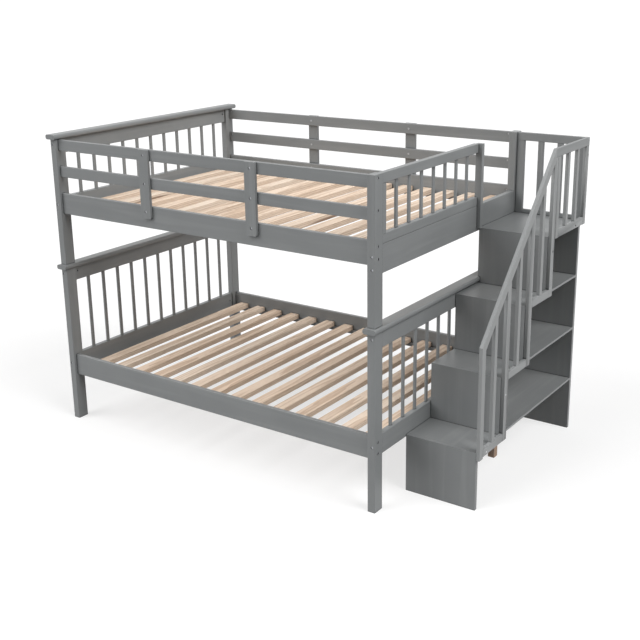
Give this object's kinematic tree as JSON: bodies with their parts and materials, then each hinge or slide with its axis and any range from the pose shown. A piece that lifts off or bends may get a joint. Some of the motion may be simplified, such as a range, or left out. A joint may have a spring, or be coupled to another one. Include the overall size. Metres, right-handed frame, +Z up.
{
  "type": "bunk bed",
  "caption": "Bunk bed with slatted decks, barred end panels, guard rails and a flight of open storage stairs with a handrail across its foot end.",
  "frame": {"origin": "middle of the whole object's footprint, on the floor", "axes": "+X along the bed from its head towards the stairs, +Y across the bed in the direction that the stairs climb, +Z up"},
  "size_m": [2.394, 1.475, 1.595],
  "materials": {
    "grey_paint": "satin paint",
    "bare_pine": "planed, unfinished",
    "zinc_steel": "zinc plated"
  },
  "bodies": {
    "root": {"lower_post_near_left": "grey_paint", "upper_post_near_left": "grey_paint", "lower_post_far_left": "grey_paint", "upper_post_far_left": "grey_paint", "lower_post_near_right": "grey_paint", "upper_post_near_right": "grey_paint", "lower_post_far_right": "grey_paint", "upper_post_far_right": "grey_paint", "lower_cap_head": "grey_paint", "lower_cap_foot": "grey_paint", "upper_cap_head": "grey_paint", "lower_head_bottom_rail": "grey_paint", "lower_head_top_rail": "grey_paint", "upper_head_board": "grey_paint", "lower_head_balusters": "grey_paint", "lower_foot_bottom_rail": "grey_paint", "lower_foot_top_rail": "grey_paint", "upper_foot_board": "grey_paint", "lower_foot_balusters": "grey_paint", "upper_head_top_rail": "grey_paint", "upper_head_balusters": "grey_paint", "lower_side_rail_near": "grey_paint", "upper_side_rail_near": "grey_paint", "middle_guard_rail_near": "grey_paint", "top_guard_rail_near": "grey_paint", "near_guard_boards": "grey_paint", "lower_side_rail_far": "grey_paint", "upper_side_rail_far": "grey_paint", "middle_guard_rail_far": "grey_paint", "top_guard_rail_far": "grey_paint", "far_guard_boards": "grey_paint", "slat_ledgers": "grey_paint", "entry_guard_rails": "grey_paint", "entry_guard_stile": "grey_paint", "entry_guard_balusters": "grey_paint", "entry_post": "grey_paint", "first_riser": "grey_paint", "first_tread": "grey_paint", "second_riser": "grey_paint", "second_tread": "grey_paint", "third_riser": "grey_paint", "third_tread": "grey_paint", "fourth_riser": "grey_paint", "platform": "grey_paint", "stair_back_panel": "grey_paint", "sloped_handrail": "grey_paint", "stair_newel": "grey_paint", "level_handrail": "grey_paint", "stair_railing_stiles": "grey_paint", "stair_railing_balusters": "grey_paint", "stair_railing_bottom_rails": "grey_paint", "back_railing_rails": "grey_paint", "back_railing_uprights": "grey_paint", "lower_slats": "bare_pine", "upper_slats": "bare_pine", "stair_middle_leg": "bare_pine", "bolts": "zinc_steel", "barrel_nuts": "zinc_steel", "sleeve_nuts": "zinc_steel", "stacking_dowels": "zinc_steel"}
  },
  "joints": []
}
